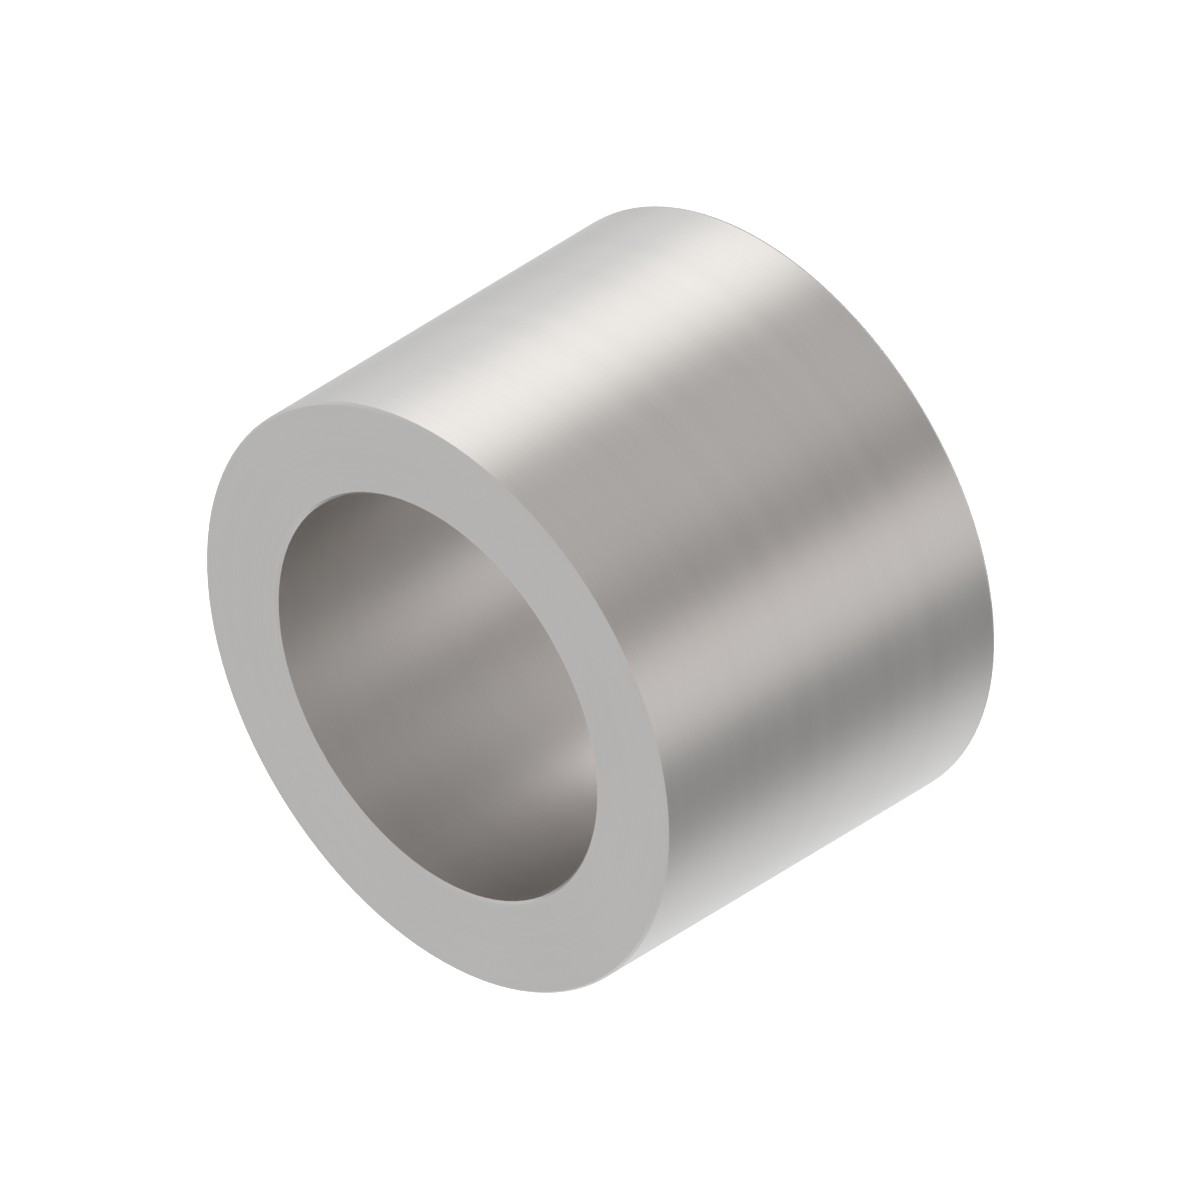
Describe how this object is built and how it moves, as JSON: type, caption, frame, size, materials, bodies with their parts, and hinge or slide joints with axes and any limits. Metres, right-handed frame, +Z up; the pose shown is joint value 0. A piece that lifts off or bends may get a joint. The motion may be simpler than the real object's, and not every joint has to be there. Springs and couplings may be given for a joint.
{
  "type": "spacer sleeve",
  "caption": "Short thick-walled round steel sleeve with square-cut flat ends and a plain straight through bore, slipped over a bolt to hold clamped parts a fixed distance apart.",
  "frame": {"origin": "centre of the lower end, on the bore's axis, where the sleeve stands", "axes": "+Z up the bore's axis, from the lower end to the upper end; the sleeve is the same all round, so X and Y are any two square directions"},
  "size_m": [0.0254, 0.0254, 0.018],
  "materials": {
    "turned_steel": "fine turned, satin"
  },
  "bodies": {
    "root": {"sleeve": "turned_steel"}
  },
  "joints": []
}
